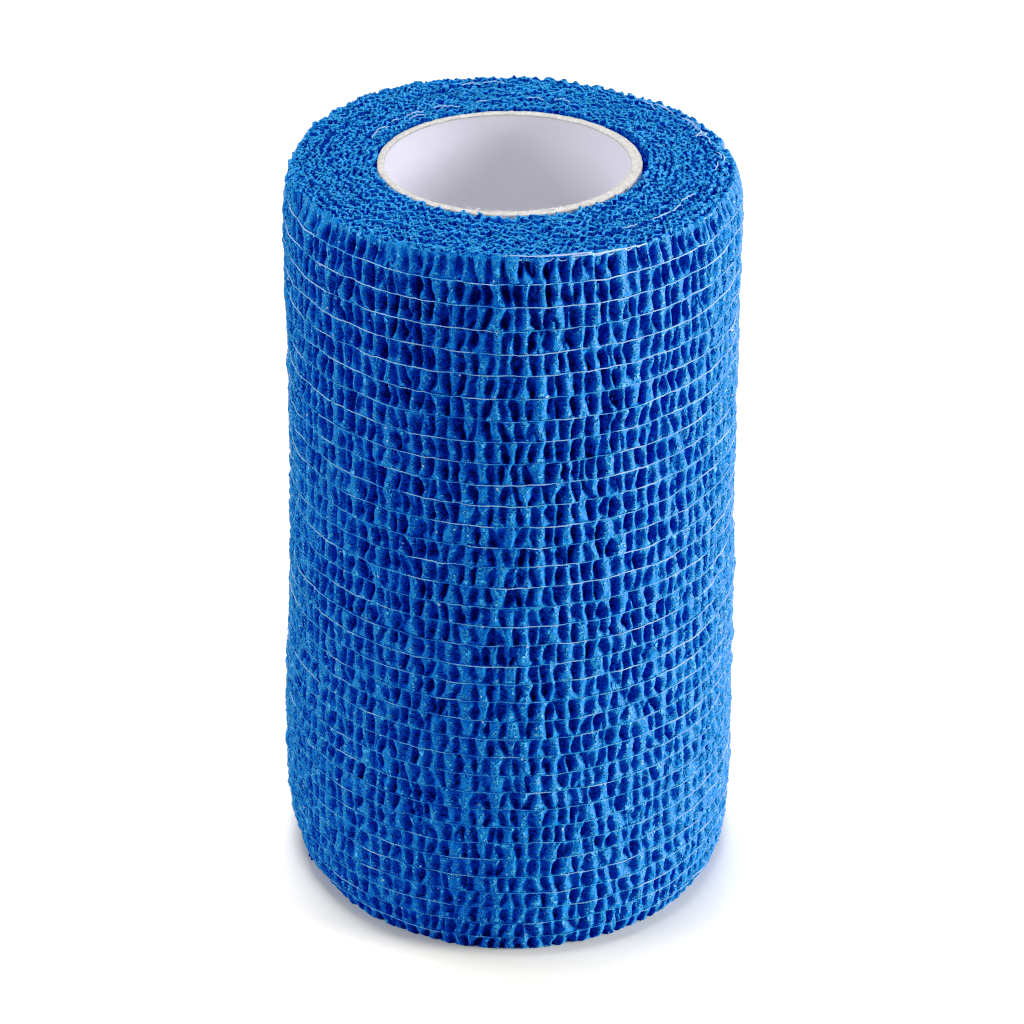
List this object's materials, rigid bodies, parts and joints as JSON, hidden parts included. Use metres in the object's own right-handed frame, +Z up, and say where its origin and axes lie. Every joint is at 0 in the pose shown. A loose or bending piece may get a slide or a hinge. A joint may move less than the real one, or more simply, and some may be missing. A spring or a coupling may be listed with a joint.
{
  "type": "cohesive bandage roll",
  "caption": "Crinkled blue elastic cohesive bandage wound on a white paper core, standing on its end; the strip unwinds for wrapping and the open core takes a finger or peg.",
  "frame": {"origin": "centre of the roll's foot, on the surface that it stands on", "axes": "+Z up along the roll's axis, -Y towards the front, the strip's outer end at the back on +Y"},
  "size_m": [0.0608, 0.0612, 0.1],
  "materials": {
    "crinkled_cloth": "matt crinkled nonwoven cloth with fine elastic yarns",
    "core_paper": "matt white paper lining with a cream cut edge"
  },
  "bodies": {
    "root": {"bandage": "crinkled_cloth", "core": "core_paper"}
  },
  "joints": []
}
